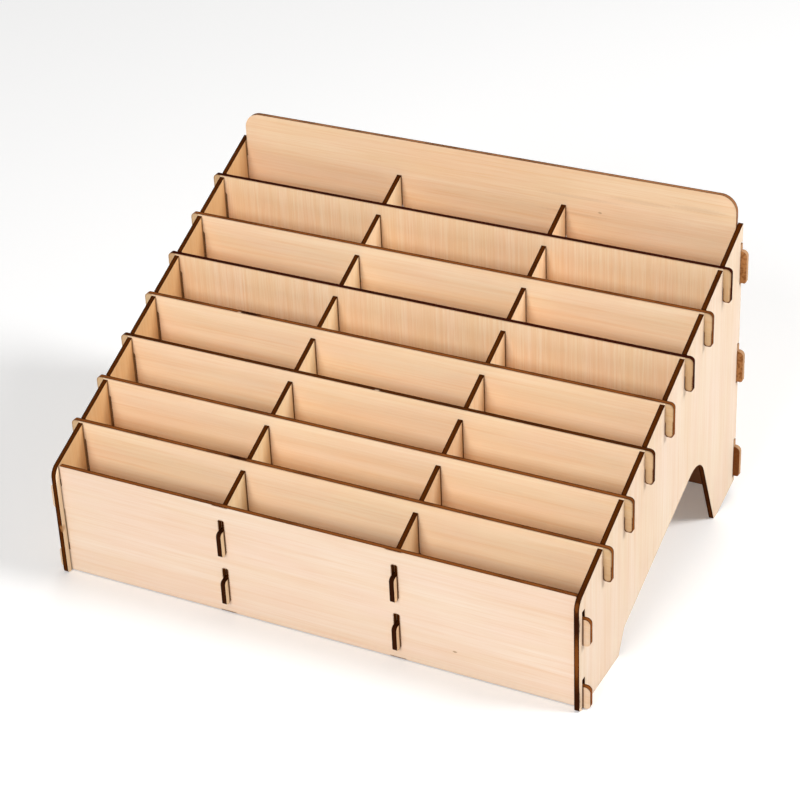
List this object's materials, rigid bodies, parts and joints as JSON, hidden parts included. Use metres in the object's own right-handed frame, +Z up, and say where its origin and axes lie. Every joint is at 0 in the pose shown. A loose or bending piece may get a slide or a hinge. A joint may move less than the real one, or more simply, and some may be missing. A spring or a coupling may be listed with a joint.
{
  "type": "modular paint storage rack",
  "caption": "Slot-together plywood storage rack: stepped open compartments on a sloped floor between two arched sides, with cross panels that lift out.",
  "frame": {"origin": "on the table, under the middle of the rack", "axes": "+X to the right, +Y from the low front to the high back, +Z up"},
  "size_m": [0.3408, 0.243, 0.1985],
  "materials": {
    "side_plywood": "bare laser-cut plywood with scorched edges",
    "front_plywood": "bare laser-cut plywood with scorched edges",
    "back_plywood": "bare laser-cut plywood with scorched edges",
    "divider_plywood": "bare laser-cut plywood with scorched edges",
    "floor_plywood": "bare laser-cut plywood with scorched edges",
    "cross_plywood": "bare laser-cut plywood with scorched edges"
  },
  "bodies": {
    "rack": {"side_panel_left": "side_plywood", "side_panel_right": "side_plywood", "front_panel": "front_plywood", "back_panel": "back_plywood", "column_divider_left": "divider_plywood", "column_divider_right": "divider_plywood", "sloped_floor": "floor_plywood"},
    "lift_panel_1": {"cross_panel_1": "cross_plywood"},
    "lift_panel_2": {"cross_panel_2": "cross_plywood"},
    "lift_panel_3": {"cross_panel_3": "cross_plywood"},
    "lift_panel_4": {"cross_panel_4": "cross_plywood"},
    "lift_panel_5": {"cross_panel_5": "cross_plywood"},
    "lift_panel_6": {"cross_panel_6": "cross_plywood"},
    "lift_panel_7": {"cross_panel_7": "cross_plywood"}
  },
  "joints": [
    {"name": "panel_1_lift", "type": "slide", "parent": "rack", "child": "lift_panel_1", "axis": [0, 0, 1], "range_m": [0, 0.07]},
    {"name": "panel_2_lift", "type": "slide", "parent": "rack", "child": "lift_panel_2", "axis": [0, 0, 1], "range_m": [0, 0.07]},
    {"name": "panel_3_lift", "type": "slide", "parent": "rack", "child": "lift_panel_3", "axis": [0, 0, 1], "range_m": [0, 0.07]},
    {"name": "panel_4_lift", "type": "slide", "parent": "rack", "child": "lift_panel_4", "axis": [0, 0, 1], "range_m": [0, 0.07]},
    {"name": "panel_5_lift", "type": "slide", "parent": "rack", "child": "lift_panel_5", "axis": [0, 0, 1], "range_m": [0, 0.07]},
    {"name": "panel_6_lift", "type": "slide", "parent": "rack", "child": "lift_panel_6", "axis": [0, 0, 1], "range_m": [0, 0.07]},
    {"name": "panel_7_lift", "type": "slide", "parent": "rack", "child": "lift_panel_7", "axis": [0, 0, 1], "range_m": [0, 0.07]}
  ]
}
